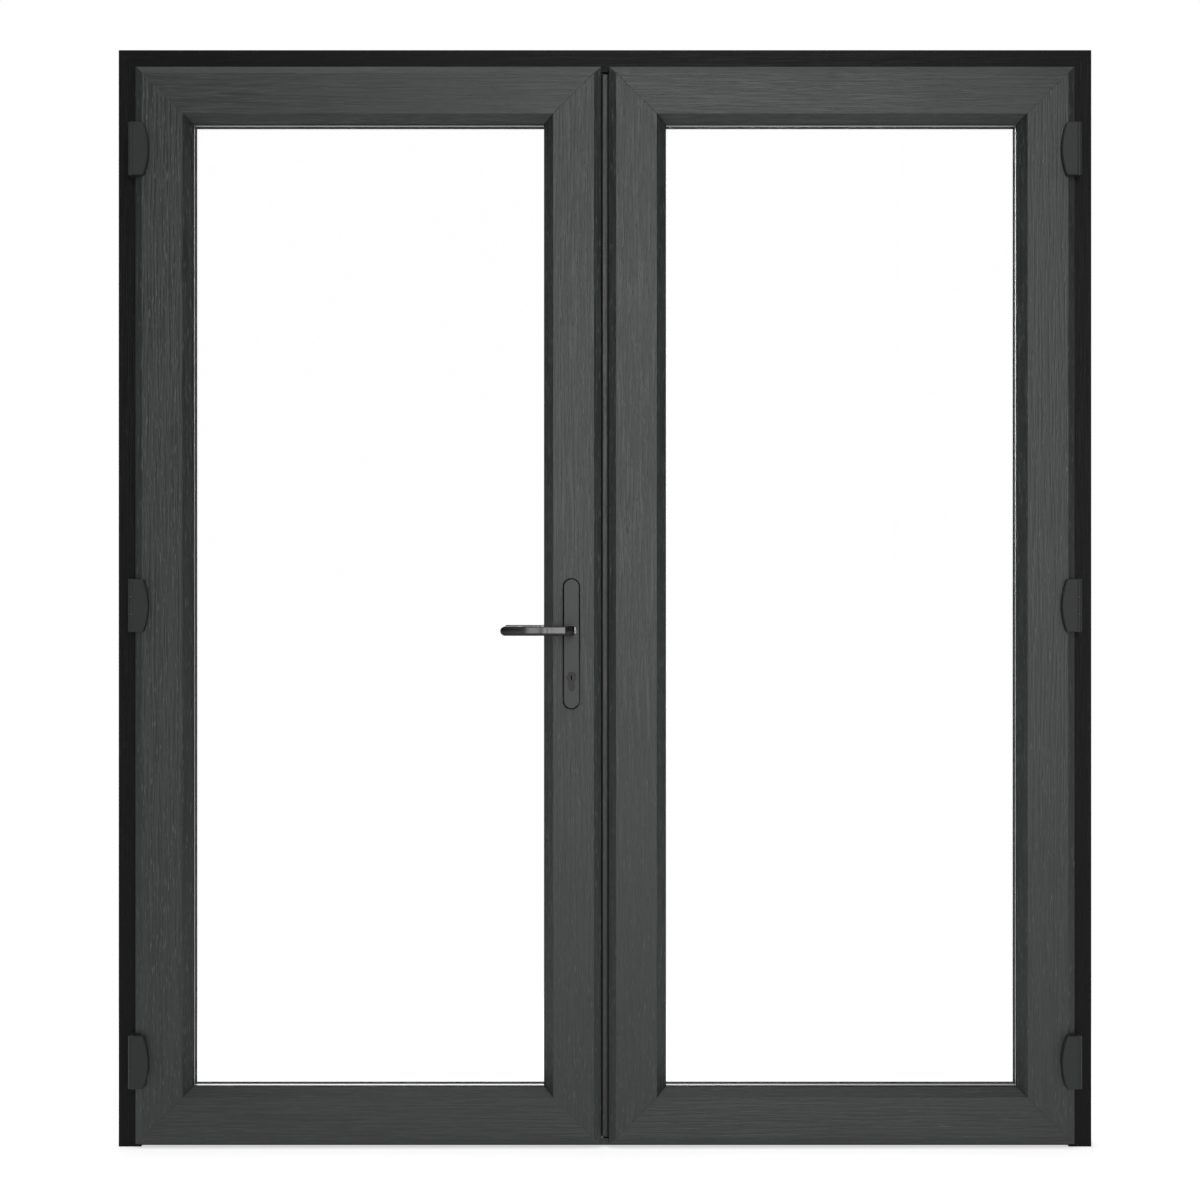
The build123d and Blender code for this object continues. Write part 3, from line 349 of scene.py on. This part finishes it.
slotMaterials = {
    "hinge_grey": paintMaterial(), "rubber": rubberMaterial(), "glass": glassMaterial(),
    "mill_aluminium": metalMaterial("millAluminium", finish["aluminium"], 0.38, (30.0, 900.0, 900.0)),
    "galvanised_steel": spangleMaterial(),
    "bright_steel": metalMaterial("brightSteel", finish["steel"], 0.26),
    "spacer_grey": spacerMaterial(), "black_plastic": plasticMaterial(), "handle_plate": plateMaterial(),
    "handle_lever": leverMaterial(),
    "nickel": metalMaterial("darkNickel", finish["nickel"], 0.5, metallic=0.35),
}
coated = metalMaterial("coatedThreshold", finish["threshold"], 0.5, metallic=0.2)
ownMaterials = dict(foils, threshold=coated)     # these pieces don't take their slot's material
for entry in frame["record"]["subparts"]:
    node, slot = entry["node"], entry["material_slot"]
    chosen = ownMaterials.get(node) or slotMaterials.get(slot)
    for materialSlot in nodes[node].material_slots:
        materialSlot.material = chosen
print("finishes ready")

# Soft lip on the left leaf's lock carrier that closes the meeting gap against the light.
lip = {"root": -0.0155, "tip": -0.00628, "back": -0.0225, "thickness": 0.0016, "low": 0.030,
       "high": 1.962, "roundedShare": 0.45}


def meetingLip():
    form = bmesh.new()
    bmesh.ops.create_cube(form, size=1.0)
    middle = ((lip["root"] + lip["tip"]) / 2, lip["back"], (lip["low"] + lip["high"]) / 2)
    size = (lip["tip"] - lip["root"], lip["thickness"], lip["high"] - lip["low"])
    bmesh.ops.scale(form, vec=size, verts=form.verts)
    bmesh.ops.translate(form, vec=middle, verts=form.verts)
    rim = [edge for edge in form.edges if abs(edge.verts[0].co.z - edge.verts[1].co.z) > 1 and
           edge.verts[0].co.x > middle[0]]
    bmesh.ops.bevel(form, geom=rim, offset=lip["thickness"] * lip["roundedShare"], segments=3,
                    affect="EDGES", profile=0.5, material=-1)
    mesh = bpy.data.meshes.new("meetingLip")
    form.to_mesh(mesh)
    form.free()
    made = bpy.data.objects.new("meetingLip", mesh)
    bpy.context.scene.collection.objects.link(made)
    mesh.materials.append(slotMaterials["rubber"])
    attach(made, "left_leaf")


meetingLip()

# Outside lever: one bar carried out from the plate, round a bend and along the grip to a round tip.
lever = {
    "neck": (-0.0613, -0.0645, 0.950), "size": (0.011, 0.0175), "corner": 0.0032, "cornerSteps": 4,
    "straight": 0.0307, "bend": 0.013, "bendSteps": 9,
    "runs": ((0.0237, 0.0, 1), (0.013, 0.0012, 12), (0.040, 0.0006, 8), (0.02955, 0.0, 2)),
    "tipSteps": 9, "tipDepth": 0.6,
}


def carryOn(form, face, move=(0, 0, 0), grow=(1, 1, 1), turn=0.0, about=None):
    inside = all(len(edge.link_faces) > 1 for edge in face.edges)
    made = bmesh.ops.extrude_face_region(form, geom=[face], use_keep_orig=True)["geom"]
    end = next(part for part in made if isinstance(part, bmesh.types.BMFace))
    if inside:                                   # only the first face stays, as the root's end
        bmesh.ops.delete(form, geom=[face], context="FACES_ONLY")
    bmesh.ops.translate(form, vec=move, verts=end.verts)
    if turn:
        bmesh.ops.rotate(form, cent=about, matrix=Matrix.Rotation(turn, 3, "Z"), verts=end.verts)
    bmesh.ops.scale(form, vec=grow, space=Matrix.Translation(-end.calc_center_median()), verts=end.verts)
    return end


def outsideLever():
    form = bmesh.new()
    bmesh.ops.create_grid(form, x_segments=1, y_segments=1, size=0.5)
    bmesh.ops.scale(form, vec=(*lever["size"], 1), verts=form.verts)
    bmesh.ops.bevel(form, geom=form.verts[:], offset=lever["corner"], segments=lever["cornerSteps"],
                    affect="VERTICES", profile=0.5, material=-1)
    bmesh.ops.rotate(form, matrix=Matrix.Rotation(math.pi / 2, 3, "X"), verts=form.verts)
    bmesh.ops.translate(form, vec=lever["neck"], verts=form.verts)
    end = next(iter(form.faces))
    end = carryOn(form, end, move=(0, -lever["straight"], 0))
    middle = end.calc_center_median()
    about = middle - Vector((lever["bend"], 0, 0))
    for i in range(lever["bendSteps"]):
        end = carryOn(form, end, turn=-math.pi / 2 / lever["bendSteps"], about=about)
    for length, outwards, steps in lever["runs"]:                # the grip stands further out than the shank
        gone = 0.0
        for i in range(1, steps + 1):
            part = i / steps
            eased = part * part * (3 - 2 * part)
            end = carryOn(form, end, move=(-length / steps, -outwards * (eased - gone), 0))
            gone = eased
    high = lever["size"][1] / 2
    before = (0.0, 1.0, 1.0)                     # reach, depth and height along the round tip
    for i in range(1, lever["tipSteps"]):
        turn = math.pi / 2 * i / lever["tipSteps"]
        depth = lever["tipDepth"] + (1 - lever["tipDepth"]) * math.cos(turn)
        now = (high * math.sin(turn), depth, math.cos(turn))
        end = carryOn(form, end, move=(before[0] - now[0], 0, 0),
                      grow=(1, now[1] / before[1], now[2] / before[2]))
        before = now
    bmesh.ops.recalc_face_normals(form, faces=form.faces)
    for face in form.faces:
        face.smooth = len(face.verts) == 4
    mesh = bpy.data.meshes.new("outsideLeverForm")
    form.to_mesh(mesh)
    form.free()
    made = bpy.data.objects.new("outsideLeverForm", mesh)
    bpy.context.scene.collection.objects.link(made)
    mesh.materials.append(slotMaterials["handle_lever"])
    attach(made, "levers")
    return made


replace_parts(outsideLever(), "outside_lever")
print("lip and lever ready")

# Floor, world and lamps.
studio = {"floorSize": 60.0, "floorColour": 0.80, "fill": 0.31, "floorGlow": 0.55, "widthShare": 0.6,
          "whiteOver": (0.5, 3.0)}


def stageFloor():
    form = bmesh.new()
    bmesh.ops.create_grid(form, x_segments=1, y_segments=1, size=studio["floorSize"] / 2)
    mesh = bpy.data.meshes.new("floor")
    form.to_mesh(mesh)
    form.free()
    floor = bpy.data.objects.new("floor", mesh)
    bpy.context.scene.collection.objects.link(floor)
    made, pen = newMaterial("floor")
    _, (x, y, _) = place(pen)
    rays = pen.node("ShaderNodeLightPath")
    seen = [Socket(pen.tree, rays.socket.node.outputs[key])
            for key in ("Is Camera Ray", "Is Glossy Ray", "Is Transmission Ray")]
    anyRay = seen[0].most(seen[1]).most(seen[2])
    # Away from the doors the floor is plain white.
    reach = (x * x * studio["widthShare"] + y * y).fade(*studio["whiteOver"])
    matt = pen.node("ShaderNodeBsdfDiffuse", {}, {"Color": grey(studio["floorColour"])})
    glow = pen.node("ShaderNodeEmission", {}, {"Color": grey(1.0), "Strength": anyRay * studio["floorGlow"]})
    near = pen.node("ShaderNodeAddShader", {}, {0: matt, 1: glow})
    white = pen.node("ShaderNodeEmission", {}, {"Color": grey(1.0), "Strength": 1.0})
    far = pen.node("ShaderNodeMixShader", {}, {0: anyRay, 1: matt, 2: white})
    whole = pen.node("ShaderNodeMixShader", {}, {0: reach, 1: near, 2: far})
    pen.node("ShaderNodeOutputMaterial", {}, {"Surface": whole})
    mesh.materials.append(made)


def stageWorld():
    world = bpy.data.worlds.new("studio")
    bpy.context.scene.world = world
    world.use_nodes = True
    world.node_tree.nodes.clear()
    pen = Socket(world.node_tree)
    rays = pen.node("ShaderNodeLightPath")
    seen = [Socket(pen.tree, rays.socket.node.outputs[key])
            for key in ("Is Camera Ray", "Is Transmission Ray")]
    white = seen[0].most(seen[1])
    fill = pen.node("ShaderNodeBackground", {}, {"Color": grey(1.0), "Strength": studio["fill"]})
    back = pen.node("ShaderNodeBackground", {}, {"Color": grey(1.0), "Strength": 1.0})
    mixed = pen.node("ShaderNodeMixShader", {}, {0: white, 1: fill, 2: back})
    pen.node("ShaderNodeOutputWorld", {}, {"Surface": mixed})


lamps = {
    "frontBox": {"at": (0.55, -5.4, 2.0), "to": (0.1, 0, 1.1), "size": (1.4, 4.0), "power": 150},
    "topBox": {"at": (0.0, -1.2, 4.6), "to": (0, 0, 0.8), "size": (3.0, 1.6), "power": 45},
    "backBox": {"at": (-0.8, 5.0, 2.6), "to": (0, 0, 1.0), "size": (3.0, 2.4), "power": 200},
}


def stageLamps():
    for name, lamp in lamps.items():
        data = bpy.data.lights.new(name, "AREA")
        data.shape = "RECTANGLE"
        data.size, data.size_y = lamp["size"]
        data.energy = lamp["power"]
        made = bpy.data.objects.new(name, data)
        made.location = lamp["at"]
        made.rotation_euler = (Vector(lamp["to"]) - Vector(lamp["at"])).to_track_quat("-Z", "Y").to_euler()
        made.visible_camera = False
        made.visible_transmission = False
        bpy.context.scene.collection.objects.link(made)


stageFloor()
stageWorld()
stageLamps()
bpy.context.scene.view_settings.view_transform = "Standard"
print("studio ready")
